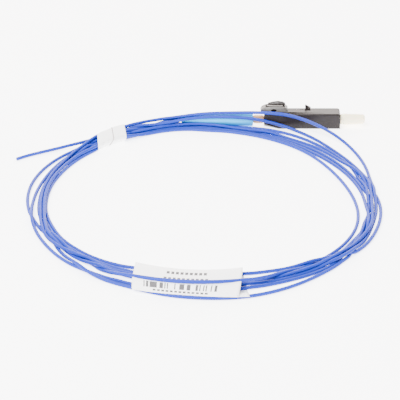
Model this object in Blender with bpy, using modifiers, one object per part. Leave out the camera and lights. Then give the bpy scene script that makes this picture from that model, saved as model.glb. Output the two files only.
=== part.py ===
"""Fibre optic pigtail: a small form factor plug with its dust cap on, and two metres of 0.9 mm
tight-buffered fibre wound in a loose flat coil, held by a tie and carrying a wrapped label.

Frame: +X along the plug towards its ferrule, +Y away from the coil, +Z up. The origin is on the
table under the middle of the plug, its boot and its cap. Lengths are metres.
"""
import math

import bmesh
import bpy
import numpy as np
from mathutils import Matrix, Vector

MM = 0.001
GAP = 0.3 * MM

# Plug body
BODY_LENGTH = 21.25 * MM
BODY_WIDTH = 4.5 * MM
BODY_HEIGHT = 4.6 * MM
BODY_CORNER = 0.3 * MM
AXIS_HEIGHT = 2.1 * MM
REAR_TAPER_LENGTH = 4.2 * MM
REAR_NARROWING = 0.45 * MM
REAR_LIFT = 0.45 * MM
REAR_CORNER = 1.0 * MM
NOSE_POCKET_SIDE = 3.3 * MM
NOSE_POCKET_DEPTH = 4.5 * MM
NOSE_WALL = 1.2 * MM
NOSE_ROUNDING = 0.5 * MM
NOSE_DROP = 0.35 * MM

# Ferrule and its holder
FERRULE_DIAMETER = 1.25 * MM
FERRULE_PROTRUSION = 2.2 * MM
FERRULE_TIP_CHAMFER = 0.2 * MM
HOLDER_DIAMETER = 2.0 * MM
HOLDER_LENGTH = 4.0 * MM

# Latch arm on top of the body
LATCH_WIDTH = 2.5 * MM
LATCH_THICKNESS = 0.6 * MM
LATCH_ROOT_SETBACK = 5.05 * MM
LATCH_TAIL_INSET = 3.0 * MM
LATCH_CLEARANCE = 0.15 * MM
LATCH_RISE = 0.4 * MM
LATCH_PRESS_ROOM = 0.75 * MM
LUG_SETBACK = 8.05 * MM
LUG_LENGTH = 1.7 * MM
LUG_TOP_LENGTH = 0.3 * MM
LUG_HEIGHT = 1.1 * MM
LUG_OUTER = 1.95 * MM
LUG_WIDTH = 0.5 * MM
LUG_SLAB_INNER = 0.8 * MM
LUG_SLAB_HEIGHT = 0.2 * MM
LUG_FOOT_WIDTH = 0.3 * MM
NOTCH_SETBACK = 10.15 * MM
NOTCH_LENGTH = 1.0 * MM
NOTCH_INNER = 0.7 * MM

# Trigger hood at the rear of the body, with its pressing tongue
HOOD_LENGTH = 7.6 * MM
HOOD_OVERHANG = 1.0 * MM
HOOD_HEIGHT = 1.8 * MM
HOOD_ROOF = 0.4 * MM
HOOD_FRONT_BAR = 0.8 * MM
HOOD_STATIONS_MM = (
    (0.0, 5.2, 0.8, 1.2),
    (0.35, 5.75, 0.95, 1.4),
    (1.3, 6.2, 1.1, 1.75),
    (2.6, 6.35, 1.15, 1.95),
    (4.0, 6.4, 1.15, 2.05),
    (5.2, 6.4, 1.15, 2.05),
    (6.4, 6.35, 1.15, 2.05),
    (7.05, 6.15, 1.15, 2.05),
    (7.6, 5.6, 1.2, 2.05),
)
CREST_STATIONS_MM = (
    (2.1, 6.4),
    (3.5, 6.8),
    (4.9, 7.0),
    (6.2, 6.8),
    (6.95, 6.4),
)
CREST_INNER = 1.1 * MM
CREST_STEP = 1.4 * MM
CREST_OUTER = 1.7 * MM
CREST_STEP_HEIGHT = 0.27 * MM
TENON_LENGTH = 1.3 * MM
TENON_WIDTH = 1.8 * MM
TENON_DEPTH = 0.5 * MM
TONGUE_LENGTH = 4.5 * MM
TONGUE_WIDTH = 0.75 * MM
TONGUE_THICKNESS = 0.6 * MM
TONGUE_DROP = 0.08 * MM
TONGUE_SLOT = 0.6 * MM
TONGUE_FOOT_LENGTH = 0.8 * MM
SLOT_OVERCUT = 0.1 * MM

# Neck and boot behind the body
NECK_LENGTH = 3.05 * MM
NECK_DIAMETER = 2.4 * MM
NECK_SPIGOT_DIAMETER = 2.0 * MM
NECK_SPIGOT_LENGTH = 3.0 * MM
NECK_BORE_DIAMETER = 1.1 * MM
BOOT_LENGTH = 20.0 * MM
BOOT_FRONT_DIAMETER = 4.0 * MM
BOOT_TAIL_DIAMETER = 2.1 * MM
BOOT_SLEEVE_DEPTH = 4.2 * MM
BOOT_SHOULDER_LENGTH = 5.0 * MM

# Dust cap over the ferrule
CAP_REACH = 7.0 * MM
CAP_COLLAR_LENGTH = 0.6 * MM
CAP_COLLAR_DIAMETER = 2.9 * MM
CAP_BASE_DIAMETER = 3.15 * MM
CAP_END_DIAMETER = 2.7 * MM
CAP_SPIGOT_DIAMETER = 2.7 * MM
CAP_SPIGOT_LENGTH = 3.4 * MM
CAP_END_ROUNDING = 0.7 * MM
CAP_TIP_ROOM = 0.8 * MM

# Fibre
FIBRE_DIAMETER = 0.9 * MM

# Coil: centre on the table, then stations of (degrees from +X, inner radius, outer radius, lowest
# point, highest point) in millimetres, read along the bundle
COIL_CENTRE = Vector((-19.45 * MM, -43.4 * MM, 0.0))
COIL_STATIONS = (
    (0, 37.9, 45.4, 0.0, 2.0),
    (15, 37.2, 45.0, 0.0, 1.8),
    (30, 37.1, 44.6, 0.0, 1.8),
    (45, 37.5, 44.6, 0.0, 1.8),
    (60, 38.1, 43.9, 0.0, 1.9),
    (75, 38.6, 42.4, 0.0, 2.3),
    (90, 39.1, 41.6, 0.0, 2.7),
    (105, 39.7, 42.5, 0.3, 3.0),
    (120, 39.9, 43.5, 0.6, 3.0),
    (135, 39.9, 43.6, 0.6, 2.9),
    (150, 39.9, 45.0, 0.2, 2.2),
    (165, 39.8, 45.9, 0.0, 2.1),
    (180, 39.7, 45.9, 0.0, 2.0),
    (195, 39.7, 45.3, 0.0, 1.9),
    (210, 39.6, 45.7, 0.0, 1.9),
    (225, 38.9, 45.9, 0.25, 2.2),
    (240, 38.2, 46.2, 0.7, 2.7),
    (255, 38.0, 46.4, 0.8, 2.9),
    (270, 38.0, 46.4, 0.8, 2.9),
    (285, 38.2, 46.5, 0.7, 2.8),
    (300, 39.0, 47.0, 0.25, 2.2),
    (315, 40.6, 46.7, 0.0, 2.1),
    (330, 40.6, 46.6, 0.0, 2.0),
    (345, 39.4, 46.2, 0.0, 2.1),
)
COIL_STEPS = 60
SECTION_STEPS = 14
SECTION_FULLNESS = 0.62

# Tie round the bundle
TIE_ANGLES = (121.0, 134.1)
TIE_THICKNESS = 0.3 * MM
TIE_STEPS = 5

# Label wrapped round the bundle
LABEL_ANGLES = (248.6, 281.0)
LABEL_STEPS = 8
LABEL_SECTION_STEPS = 20
LABEL_THICKNESS = 0.4 * MM
LABEL_MIDDLE_RADIUS = 42.6 * MM
LABEL_HALF_DEPTH = 5.7 * MM
LABEL_HEIGHT = 3.5 * MM
LABEL_FULLNESS = 0.8

# Free lengths of fibre outside the coil
LEAD_ROUTE_MM = ((-22.65, 0.0, 2.1), (-25.65, 0.0, 2.1), (-28.5, -0.7, 2.05), (-30.4, -1.3, 1.95))
TAIL_ROUTE_MM = ((-51.25, -12.48, 1.7), (-52.73, -13.1, 1.65), (-55.9, -14.3, 1.15), (-58.5, -15.25, 0.85),
                 (-61.0, -16.2, 0.62), (-65.4, -18.1, 0.48), (-69.65, -20.55, 0.46))
ROUTE_SPACING = 1.1 * MM

# Worked out from the sizes above
BOOT_TAIL_X = -(BOOT_LENGTH + NECK_LENGTH + BODY_LENGTH + CAP_REACH) / 2
BOOT_FRONT_X = BOOT_TAIL_X + BOOT_LENGTH
REAR_X = BOOT_FRONT_X + NECK_LENGTH
FRONT_X = REAR_X + BODY_LENGTH
POCKET_FLOOR_X = FRONT_X - NOSE_POCKET_DEPTH
CAVITY_FRONT_X = POCKET_FLOOR_X - NOSE_WALL
LATCH_ROOT_X = FRONT_X - LATCH_ROOT_SETBACK
LATCH_TAIL_X = REAR_X + LATCH_TAIL_INSET
LATCH_HINGE_Z = BODY_HEIGHT - LATCH_THICKNESS / 2
LATCH_FLOOR_Z = BODY_HEIGHT - LATCH_THICKNESS + LATCH_RISE - LATCH_PRESS_ROOM
HOOD_SEAT_Z = BODY_HEIGHT + GAP
HOOD_TOP_Z = BODY_HEIGHT + HOOD_HEIGHT
HOOD_REAR_X = REAR_X - HOOD_OVERHANG
HOOD_FRONT_X = HOOD_REAR_X + HOOD_LENGTH
HOOD_ROOF_Z = HOOD_TOP_Z - HOOD_ROOF - TONGUE_THICKNESS
TONGUE_TIP_X = HOOD_FRONT_X - HOOD_FRONT_BAR - TONGUE_SLOT
TONGUE_ROOT_X = TONGUE_TIP_X - TONGUE_LENGTH
TONGUE_TOP_Z = HOOD_TOP_Z - TONGUE_DROP
TONGUE_HINGE_Z = TONGUE_TOP_Z - TONGUE_THICKNESS / 2


def clear_scene():
    """Start from an empty scene, whatever file the script runs in."""
    for item in list(bpy.data.objects):
        bpy.data.objects.remove(item, do_unlink=True)


def make_material(name, colour, roughness, metallic=0.0):
    """A Principled material with one colour."""
    material = bpy.data.materials.new(name)
    material.use_nodes = True
    shader = material.node_tree.nodes["Principled BSDF"]
    shader.inputs["Base Color"].default_value = (*colour, 1.0)
    shader.inputs["Roughness"].default_value = roughness
    shader.inputs["Metallic"].default_value = metallic
    return material


def add_object(name, mesh, collection, material=None):
    """Put a mesh in the scene under the given name."""
    item = bpy.data.objects.new(name, mesh)
    collection.objects.link(item)
    if material is not None:
        mesh.materials.append(material)
    return item


def smooth(item, degrees=35.0):
    """Shade round faces smooth and keep real edges sharp."""
    item.data.shade_smooth()
    item.data.set_sharp_from_angle(angle=math.radians(degrees))


def box_mesh(name, low, high):
    """An axis-aligned block between two corners."""
    low = Vector(low)
    high = Vector(high)
    bm = bmesh.new()
    bmesh.ops.create_cube(bm, size=1.0)
    size = high - low
    bmesh.ops.scale(bm, vec=size, verts=bm.verts)
    bmesh.ops.translate(bm, vec=(low + high) / 2, verts=bm.verts)
    mesh = bpy.data.meshes.new(name)
    bm.to_mesh(mesh)
    bm.free()
    return mesh


def side_plate_mesh(name, outline, y_low, y_high):
    """A flat outline of (x, z) points, extruded across the plug from y_low to y_high."""
    curve = bpy.data.curves.new(name + "_outline", "CURVE")
    curve.dimensions = "2D"
    curve.fill_mode = "BOTH"
    curve.extrude = (y_high - y_low) / 2
    spline = curve.splines.new("POLY")
    spline.points.add(len(outline) - 1)
    for point, (x, z) in zip(spline.points, outline):
        point.co = (x, z, 0.0, 1.0)
    spline.use_cyclic_u = True
    holder = bpy.data.objects.new(name + "_holder", curve)
    bpy.context.scene.collection.objects.link(holder)
    bpy.context.view_layer.update()
    mesh = bpy.data.meshes.new_from_object(holder.evaluated_get(bpy.context.evaluated_depsgraph_get()))
    bpy.data.objects.remove(holder, do_unlink=True)
    bm = bmesh.new()
    bm.from_mesh(mesh)
    bmesh.ops.remove_doubles(bm, verts=bm.verts, dist=0.001 * MM)
    turn = Matrix.Rotation(math.radians(90.0), 4, "X")
    bmesh.ops.transform(bm, matrix=turn, verts=bm.verts)
    bmesh.ops.translate(bm, vec=(0.0, (y_low + y_high) / 2, 0.0), verts=bm.verts)
    bmesh.ops.recalc_face_normals(bm, faces=bm.faces)
    bm.to_mesh(mesh)
    bm.free()
    mesh.name = name
    return mesh


def loft_mesh(name, rings, closed=False):
    """Skin a row of rings with the same number of points, capped unless the row closes on itself."""
    count = len(rings[0])
    bm = bmesh.new()
    rows = []
    for ring in rings:
        rows.append([bm.verts.new(point) for point in ring])
    pairs = list(zip(rows, rows[1:]))
    if closed:
        pairs.append((rows[-1], rows[0]))
    for first, second in pairs:
        for i in range(count):
            j = (i + 1) % count
            bm.faces.new((first[i], first[j], second[j], second[i]))
    if not closed:
        bm.faces.new(rows[0])
        bm.faces.new(rows[-1])
    bmesh.ops.recalc_face_normals(bm, faces=bm.faces)
    mesh = bpy.data.meshes.new(name)
    bm.to_mesh(mesh)
    bm.free()
    return mesh


def turned_object(name, profile, collection, material, steps=28):
    """A solid turned about the ferrule's axis. The profile is (x, radius) and runs once round."""
    mesh = bpy.data.meshes.new(name)
    points = [(radius, 0.0, x) for x, radius in profile]
    on_axis = profile[0][1] == 0.0 and profile[-1][1] == 0.0
    edges = [(i, i + 1) for i in range(len(points) - 1)]
    if not on_axis:
        edges.append((len(points) - 1, 0))
    mesh.from_pydata(points, edges, [])
    item = add_object(name, mesh, collection, material)
    item.rotation_euler = (0.0, math.radians(90.0), 0.0)
    item.location = (0.0, 0.0, AXIS_HEIGHT)
    screw = item.modifiers.new("turn", "SCREW")
    screw.steps = steps
    screw.render_steps = steps
    screw.use_merge_vertices = True
    screw.merge_threshold = 0.001 * MM
    screw.use_smooth_shade = False
    return item


def cut(item, cutter_mesh, cutters):
    """Take the cutter's volume out of the item."""
    cutter = add_object(item.name + "_cut_" + cutter_mesh.name, cutter_mesh, cutters)
    cutter.hide_render = True
    cutter.display_type = "WIRE"
    boolean = item.modifiers.new(cutter_mesh.name, "BOOLEAN")
    boolean.operation = "DIFFERENCE"
    boolean.solver = "EXACT"
    boolean.object = cutter


def join(item, added_mesh, cutters):
    """Fuse another volume into the item."""
    cutter = add_object(item.name + "_add_" + added_mesh.name, added_mesh, cutters)
    cutter.hide_render = True
    cutter.display_type = "WIRE"
    boolean = item.modifiers.new(added_mesh.name, "BOOLEAN")
    boolean.operation = "UNION"
    boolean.solver = "EXACT"
    boolean.object = cutter


def rod_mesh(name, x_low, x_high, radius, sides=24):
    """A plain round rod along the ferrule's axis."""
    bm = bmesh.new()
    bmesh.ops.create_cone(bm, cap_ends=True, segments=sides, radius1=radius, radius2=radius,
                          depth=x_high - x_low)
    bmesh.ops.transform(bm, matrix=Matrix.Rotation(math.radians(90.0), 4, "Y"), verts=bm.verts)
    bmesh.ops.translate(bm, vec=((x_low + x_high) / 2, 0.0, AXIS_HEIGHT), verts=bm.verts)
    mesh = bpy.data.meshes.new(name)
    bm.to_mesh(mesh)
    bm.free()
    return mesh


def bevel(item, width, segments=2):
    """Round the item's sharp edges a little."""
    rounding = item.modifiers.new("edges", "BEVEL")
    rounding.width = width
    rounding.segments = segments
    rounding.limit_method = "ANGLE"
    rounding.angle_limit = math.radians(25.0)


def body_section(x, half_width, bottom, top, top_corner, low_corner):
    """Eight corners of the plug body's outline at one place along it."""
    return [
        (x, half_width, bottom + low_corner),
        (x, half_width, top - top_corner),
        (x, half_width - top_corner, top),
        (x, -half_width + top_corner, top),
        (x, -half_width, top - top_corner),
        (x, -half_width, bottom + low_corner),
        (x, -half_width + low_corner, bottom),
        (x, half_width - low_corner, bottom),
    ]


def build_housing(parts, cutters, material):
    """The black plug body: square, with a hollow nose, a latch channel and a tapered rear."""
    half = BODY_WIDTH / 2
    rings = [
        body_section(REAR_X, half - REAR_NARROWING, REAR_LIFT, BODY_HEIGHT, BODY_CORNER, REAR_CORNER),
        body_section(REAR_X + REAR_TAPER_LENGTH, half, 0.0, BODY_HEIGHT, BODY_CORNER, BODY_CORNER),
        body_section(FRONT_X - NOSE_ROUNDING, half, 0.0, BODY_HEIGHT, BODY_CORNER, BODY_CORNER),
        body_section(FRONT_X, half, 0.0, BODY_HEIGHT - NOSE_DROP, BODY_CORNER, BODY_CORNER),
    ]
    housing = add_object("connector_housing", loft_mesh("connector_housing", rings), parts, material)
    bevel(housing, 0.12 * MM)
    pocket = NOSE_POCKET_SIDE / 2
    cut(housing, box_mesh("nose_pocket", (POCKET_FLOOR_X, -pocket, AXIS_HEIGHT - pocket),
                          (FRONT_X + GAP, pocket, AXIS_HEIGHT + pocket)), cutters)
    cut(housing, rod_mesh("ferrule_bore", CAVITY_FRONT_X - GAP, POCKET_FLOOR_X + GAP,
                          FERRULE_DIAMETER / 2 + GAP), cutters)
    cut(housing, rod_mesh("holder_cavity", REAR_X - GAP, CAVITY_FRONT_X,
                          HOLDER_DIAMETER / 2 + GAP), cutters)
    channel = LATCH_WIDTH / 2 + LATCH_CLEARANCE
    cut(housing, box_mesh("latch_channel", (LATCH_TAIL_X - 2 * GAP, -channel, LATCH_FLOOR_Z),
                          (LATCH_ROOT_X + LATCH_CLEARANCE, channel, BODY_HEIGHT + GAP)), cutters)
    mortise = TENON_WIDTH / 2 + GAP
    cut(housing, box_mesh("hood_mortise", (REAR_X + TENON_LENGTH / 2 - GAP, -mortise,
                                           BODY_HEIGHT - TENON_DEPTH - GAP),
                          (REAR_X + 1.5 * TENON_LENGTH + GAP, mortise, BODY_HEIGHT + GAP)), cutters)


def build_latch(parts, cutters, material):
    """The springy arm on top, rising to the rear, with a notch and the lug that catches in the adapter."""
    outline = [
        (LATCH_ROOT_X, BODY_HEIGHT - LATCH_THICKNESS),
        (LATCH_ROOT_X, BODY_HEIGHT),
        (LATCH_TAIL_X, BODY_HEIGHT + LATCH_RISE),
        (LATCH_TAIL_X, BODY_HEIGHT + LATCH_RISE - LATCH_THICKNESS),
    ]
    half = LATCH_WIDTH / 2
    latch = add_object("latch_arm", side_plate_mesh("latch_arm", outline, -half, half), parts, material)
    lug_front = FRONT_X - LUG_SETBACK
    lug_rear = lug_front - LUG_LENGTH
    lug_low = BODY_HEIGHT + GAP
    slab_top = lug_low + LUG_SLAB_HEIGHT
    lug_outline = [
        (lug_rear, lug_low),
        (lug_front, lug_low),
        (lug_rear + LUG_TOP_LENGTH, BODY_HEIGHT + LUG_HEIGHT),
        (lug_rear, BODY_HEIGHT + LUG_HEIGHT),
    ]
    notch_rear = FRONT_X - NOTCH_SETBACK - NOTCH_LENGTH
    cut(latch, box_mesh("notch", (notch_rear, NOTCH_INNER, 0.0),
                        (notch_rear + NOTCH_LENGTH, half + GAP, 2 * BODY_HEIGHT)), cutters)
    join(latch, box_mesh("lug_foot", (lug_rear + 0.1 * MM, LUG_SLAB_INNER + 0.05 * MM,
                                      BODY_HEIGHT - LATCH_THICKNESS / 2),
                         (lug_front - 0.3 * MM, LUG_SLAB_INNER + LUG_FOOT_WIDTH,
                          slab_top - LUG_SLAB_HEIGHT / 2)), cutters)
    join(latch, box_mesh("lug_slab", (lug_rear + 0.05 * MM, LUG_SLAB_INNER, lug_low + 0.01 * MM),
                         (lug_front - 0.2 * MM, LUG_OUTER - LUG_WIDTH / 2, slab_top)), cutters)
    join(latch, side_plate_mesh("lug", lug_outline, LUG_OUTER - LUG_WIDTH, LUG_OUTER), cutters)


def hood_section(x, top, top_half, base_half):
    """Eight corners of the hood's outline across the plug, from one seat over the top to the other."""
    rise = top - HOOD_SEAT_Z
    half_profile = [
        (base_half, HOOD_SEAT_Z),
        (base_half - 0.1 * MM, HOOD_SEAT_Z + 0.3 * rise),
        ((top_half + base_half) / 2, HOOD_SEAT_Z + 0.7 * rise),
        (top_half, top),
    ]
    near = [(x, y, z) for y, z in half_profile]
    far = [(x, -y, z) for y, z in half_profile[::-1]]
    return near + far


def crest_section(x, crest):
    """Outline of the low crest along one side of the hood, sunk into it."""
    sunk = HOOD_SEAT_Z + 0.75 * MM
    return [
        (x, CREST_INNER, sunk),
        (x, CREST_INNER, crest - 2.5 * CREST_STEP_HEIGHT),
        (x, CREST_STEP, crest - CREST_STEP_HEIGHT),
        (x, CREST_STEP, crest),
        (x, CREST_OUTER, crest),
        (x, CREST_OUTER, sunk),
    ]


def build_hood(parts, cutters, material):
    """The humped guard over the latch's free end, with a slot round its tongue."""
    rings = []
    for offset, top, top_half, base_half in HOOD_STATIONS_MM:
        rings.append(hood_section(HOOD_REAR_X + offset * MM, top * MM, top_half * MM, base_half * MM))
    hood = add_object("trigger_hood", loft_mesh("trigger_hood", rings), parts, material)
    crest = [crest_section(HOOD_REAR_X + offset * MM, top * MM) for offset, top in CREST_STATIONS_MM]
    join(hood, loft_mesh("crest", crest), cutters)
    room = LATCH_WIDTH / 2 + GAP
    cut(hood, box_mesh("latch_room", (LATCH_TAIL_X - 2 * GAP, -room, HOOD_SEAT_Z - GAP),
                       (HOOD_FRONT_X + GAP, room, HOOD_ROOF_Z)), cutters)
    slot = TONGUE_WIDTH / 2 + TONGUE_SLOT
    cut(hood, box_mesh("tongue_slot", (TONGUE_ROOT_X - GAP, -slot, HOOD_ROOF_Z - SLOT_OVERCUT),
                       (TONGUE_TIP_X + TONGUE_SLOT, slot, HOOD_TOP_Z + GAP)), cutters)
    tenon = TENON_WIDTH / 2
    join(hood, box_mesh("tenon", (REAR_X + TENON_LENGTH / 2, -tenon, BODY_HEIGHT - TENON_DEPTH),
                        (REAR_X + 1.5 * TENON_LENGTH, tenon, HOOD_SEAT_Z + GAP)), cutters)


def build_tongue(parts, cutters, material):
    """The bar that the thumb presses: it pivots at its rear and its foot bears on the latch."""
    hinge = bpy.data.objects.new("tongue_hinge", None)
    parts.objects.link(hinge)
    hinge.location = (TONGUE_ROOT_X, 0.0, TONGUE_HINGE_Z)
    foot_low = BODY_HEIGHT + LATCH_RISE + GAP
    outline = [
        (0.0, -TONGUE_THICKNESS / 2),
        (0.0, TONGUE_THICKNESS / 2),
        (TONGUE_LENGTH, TONGUE_THICKNESS / 2),
        (TONGUE_LENGTH, foot_low - TONGUE_HINGE_Z),
        (TONGUE_LENGTH - TONGUE_FOOT_LENGTH, foot_low - TONGUE_HINGE_Z),
        (TONGUE_LENGTH - TONGUE_FOOT_LENGTH, -TONGUE_THICKNESS / 2),
    ]
    half = TONGUE_WIDTH / 2
    tongue = add_object("trigger_tongue", side_plate_mesh("trigger_tongue", outline, -half, half),
                        parts, material)
    tongue.parent = hinge
    bevel(tongue, 0.1 * MM)


def build_ferrule(parts, ceramic, steel):
    """The polished ceramic ferrule and the metal holder behind it."""
    tip_x = FRONT_X + FERRULE_PROTRUSION
    radius = FERRULE_DIAMETER / 2
    turned_object("ferrule", [(tip_x, 0.0), (tip_x, radius - FERRULE_TIP_CHAMFER),
                              (tip_x - FERRULE_TIP_CHAMFER, radius), (CAVITY_FRONT_X, radius),
                              (CAVITY_FRONT_X, 0.0)], parts, ceramic)
    holder_x = CAVITY_FRONT_X - GAP
    radius = HOLDER_DIAMETER / 2
    turned_object("ferrule_holder", [(holder_x, 0.0), (holder_x, radius),
                                     (holder_x - HOLDER_LENGTH, radius),
                                     (holder_x - HOLDER_LENGTH, 0.0)], parts, steel)


def build_neck(parts, material):
    """The pale tube that the boot is pushed over, with a spigot at each end."""
    bore = NECK_BORE_DIAMETER / 2
    spigot = NECK_SPIGOT_DIAMETER / 2
    barrel = NECK_DIAMETER / 2
    front_x = REAR_X - GAP
    back_x = BOOT_FRONT_X + GAP
    turned_object("rear_neck", [
        (REAR_X + NECK_SPIGOT_LENGTH, bore), (REAR_X + NECK_SPIGOT_LENGTH, spigot),
        (front_x, spigot), (front_x, barrel), (back_x, barrel), (back_x, spigot),
        (BOOT_FRONT_X - NECK_SPIGOT_LENGTH, spigot), (BOOT_FRONT_X - NECK_SPIGOT_LENGTH, bore),
    ], parts, material)


def build_boot(parts, material):
    """The soft boot that keeps the fibre from kinking: straight at the plug, then a long taper."""
    sleeve = NECK_SPIGOT_DIAMETER / 2 + GAP
    bore = FIBRE_DIAMETER / 2 + GAP
    front = BOOT_FRONT_DIAMETER / 2
    tail = BOOT_TAIL_DIAMETER / 2
    turned_object("boot", [
        (BOOT_FRONT_X, sleeve), (BOOT_FRONT_X, front - 0.15 * MM), (BOOT_FRONT_X - 0.15 * MM, front),
        (BOOT_FRONT_X - BOOT_SHOULDER_LENGTH, front), (BOOT_TAIL_X + 0.2 * MM, tail),
        (BOOT_TAIL_X, tail - 0.1 * MM), (BOOT_TAIL_X, bore),
        (BOOT_FRONT_X - BOOT_SLEEVE_DEPTH - GAP, bore), (BOOT_FRONT_X - BOOT_SLEEVE_DEPTH, sleeve),
    ], parts, material)


def build_cap(parts, material):
    """The push-on dust cap: a spigot in the nose, a thin collar and a rounded barrel."""
    bore = FERRULE_DIAMETER / 2 + GAP
    spigot = CAP_SPIGOT_DIAMETER / 2
    collar = CAP_COLLAR_DIAMETER / 2
    base = CAP_BASE_DIAMETER / 2
    end = CAP_END_DIAMETER / 2
    face_x = FRONT_X + GAP
    tip_x = FRONT_X + CAP_REACH
    mouth_x = FRONT_X - CAP_SPIGOT_LENGTH
    floor_x = FRONT_X + FERRULE_PROTRUSION + CAP_TIP_ROOM
    rounding = []
    for step in range(5):
        angle = math.radians(90.0 - 90.0 * step / 4)
        x = tip_x - CAP_END_ROUNDING + CAP_END_ROUNDING * math.cos(angle)
        radius = end - CAP_END_ROUNDING + CAP_END_ROUNDING * math.sin(angle)
        rounding.append((x, radius))
    profile = [(tip_x, 0.0)] + rounding[::-1] + [
        (face_x + CAP_COLLAR_LENGTH + 0.2 * MM, base), (face_x + CAP_COLLAR_LENGTH, base - 0.1 * MM),
        (face_x + CAP_COLLAR_LENGTH, collar), (face_x, collar), (face_x, spigot),
        (mouth_x, spigot), (mouth_x, bore), (floor_x, bore), (floor_x, 0.0),
    ]
    turned_object("dust_cap", profile, parts, material)


def coil_section(degrees):
    """Inner radius, outer radius, lowest and highest point of the bundle at an angle, in metres.

    The stations are joined by a closed Catmull-Rom curve, so the bundle has no corners.
    """
    table = np.array(COIL_STATIONS, dtype=float)
    step = 360.0 / len(table)
    place = (degrees % 360.0) / step
    index = int(math.floor(place))
    t = place - index
    p0, p1, p2, p3 = (table[(index + k) % len(table), 1:] for k in (-1, 0, 1, 2))
    value = 0.5 * (2 * p1 + (p2 - p0) * t + (2 * p0 - 5 * p1 + 4 * p2 - p3) * t * t
                   + (3 * p1 - p0 - 3 * p2 + p3) * t ** 3)
    value[2] = max(value[2], 0.0)
    return value * MM


def round_section(degrees, r_in, r_out, low, high, fullness, points):
    """A rounded box outline standing across the bundle at an angle round the coil."""
    angle = math.radians(degrees)
    out = Vector((math.cos(angle), math.sin(angle), 0.0))
    middle = (r_in + r_out) / 2
    ring = []
    for i in range(points):
        turn = 2 * math.pi * (i + 0.5) / points
        c = math.cos(turn)
        s = math.sin(turn)
        across = (r_out - r_in) / 2 * math.copysign(abs(c) ** fullness, c)
        up = (high - low) / 2 * math.copysign(abs(s) ** fullness, s)
        ring.append(COIL_CENTRE + out * (middle + across) + Vector((0.0, 0.0, (low + high) / 2 + up)))
    return ring


def build_coil(parts, material):
    """One closed solid of the outer shape of the wound bundle."""
    rings = []
    for step in range(COIL_STEPS):
        degrees = 360.0 * step / COIL_STEPS
        r_in, r_out, low, high = coil_section(degrees)
        rings.append(round_section(degrees, r_in, r_out, low, high, SECTION_FULLNESS, SECTION_STEPS))
    coil = add_object("fibre_coil", loft_mesh("fibre_coil", rings, closed=True), parts, material)
    smooth(coil, 60.0)


def sleeve_mesh(name, inner_rings, outer_rings):
    """An open-ended sleeve: inner and outer skins joined at both ends."""
    rings = []
    rings.extend(outer_rings)
    rings.extend(inner_rings[::-1])
    return loft_mesh(name, rings, closed=True)


def build_tie(parts, material):
    """The white tie pulled round the bundle."""
    inner = []
    outer = []
    for step in range(TIE_STEPS):
        degrees = TIE_ANGLES[0] + (TIE_ANGLES[1] - TIE_ANGLES[0]) * step / (TIE_STEPS - 1)
        r_in, r_out, low, high = coil_section(degrees)
        inner.append(round_section(degrees, r_in - GAP, r_out + GAP, low - GAP, high + GAP,
                                   SECTION_FULLNESS, SECTION_STEPS))
        wall = GAP + TIE_THICKNESS
        outer.append(round_section(degrees, r_in - wall, r_out + wall, low - wall, high + wall,
                                   SECTION_FULLNESS, SECTION_STEPS))
    tie = add_object("tie_wrap", sleeve_mesh("tie_wrap", inner, outer), parts, material)
    smooth(tie, 60.0)


def build_label(parts, material):
    """The paper label wrapped round the bundle as a flat sleeve."""
    inner = []
    outer = []
    for step in range(LABEL_STEPS):
        degrees = LABEL_ANGLES[0] + (LABEL_ANGLES[1] - LABEL_ANGLES[0]) * step / (LABEL_STEPS - 1)
        low = 0.1 * MM
        r_in = LABEL_MIDDLE_RADIUS - LABEL_HALF_DEPTH
        r_out = LABEL_MIDDLE_RADIUS + LABEL_HALF_DEPTH
        outer.append(round_section(degrees, r_in, r_out, low, low + LABEL_HEIGHT,
                                   LABEL_FULLNESS, LABEL_SECTION_STEPS))
        wall = LABEL_THICKNESS
        inner.append(round_section(degrees, r_in + wall, r_out - wall, low + wall,
                                   low + LABEL_HEIGHT - wall, LABEL_FULLNESS, LABEL_SECTION_STEPS))
    label = add_object("label", sleeve_mesh("label", inner, outer), parts, material)
    smooth(label, 60.0)


def smooth_route(points_mm, spacing):
    """Points at even steps along a Catmull-Rom curve through the route's own points."""
    route = np.array(points_mm, dtype=float) * MM
    padded = np.vstack([2 * route[0] - route[1], route, 2 * route[-1] - route[-2]])
    fine = []
    for i in range(1, len(padded) - 2):
        p0, p1, p2, p3 = padded[i - 1:i + 3]
        for t in np.linspace(0.0, 1.0, 20, endpoint=False):
            fine.append(0.5 * (2 * p1 + (p2 - p0) * t + (2 * p0 - 5 * p1 + 4 * p2 - p3) * t * t
                               + (3 * p1 - p0 - 3 * p2 + p3) * t ** 3))
    fine.append(route[-1])
    fine = np.array(fine)
    lengths = np.concatenate([[0.0], np.cumsum(np.linalg.norm(np.diff(fine, axis=0), axis=1))])
    count = max(3, int(round(lengths[-1] / spacing)) + 1)
    places = np.linspace(0.0, lengths[-1], count)
    return np.stack([np.interp(places, lengths, fine[:, k]) for k in range(3)], axis=1)


def build_tube(name, points_mm, parts, material):
    """A free length of fibre as a round tube along its route."""
    curve = bpy.data.curves.new(name, "CURVE")
    curve.dimensions = "3D"
    curve.bevel_depth = FIBRE_DIAMETER / 2
    curve.bevel_resolution = 2
    curve.use_fill_caps = True
    route = smooth_route(points_mm, ROUTE_SPACING)
    spline = curve.splines.new("POLY")
    spline.points.add(len(route) - 1)
    for point, place in zip(spline.points, route):
        point.co = (*place, 1.0)
    curve.materials.append(material)
    item = bpy.data.objects.new(name, curve)
    parts.objects.link(item)


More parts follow.
